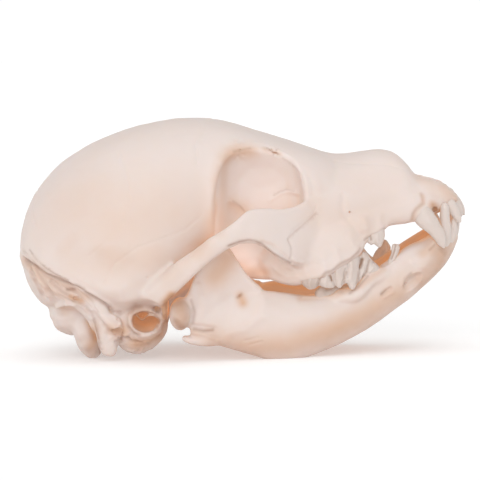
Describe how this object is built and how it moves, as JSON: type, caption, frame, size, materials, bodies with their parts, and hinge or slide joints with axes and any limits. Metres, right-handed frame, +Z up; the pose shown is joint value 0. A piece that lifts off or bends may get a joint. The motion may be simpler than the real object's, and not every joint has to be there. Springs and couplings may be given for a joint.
{
  "type": "dog skull",
  "caption": "Skull of a puppy with closed jaws and milk teeth, bleached bone, standing on its lower jaw and the back of its base.",
  "frame": {"origin": "on the table under the middle of the skull", "axes": "+X towards the nose, +Y towards the animal's left side, +Z up"},
  "size_m": [0.0948, 0.0528, 0.0503],
  "materials": {
    "bone": "matt, dry bleached bone"
  },
  "bodies": {
    "root": {"braincase": "bone", "occiput": "bone", "muzzle": "bone", "zygomatic_arch_right": "bone", "zygomatic_arch_left": "bone", "bulla_right": "bone", "bulla_left": "bone", "mandible_right": "bone", "mandible_left": "bone"}
  },
  "joints": []
}
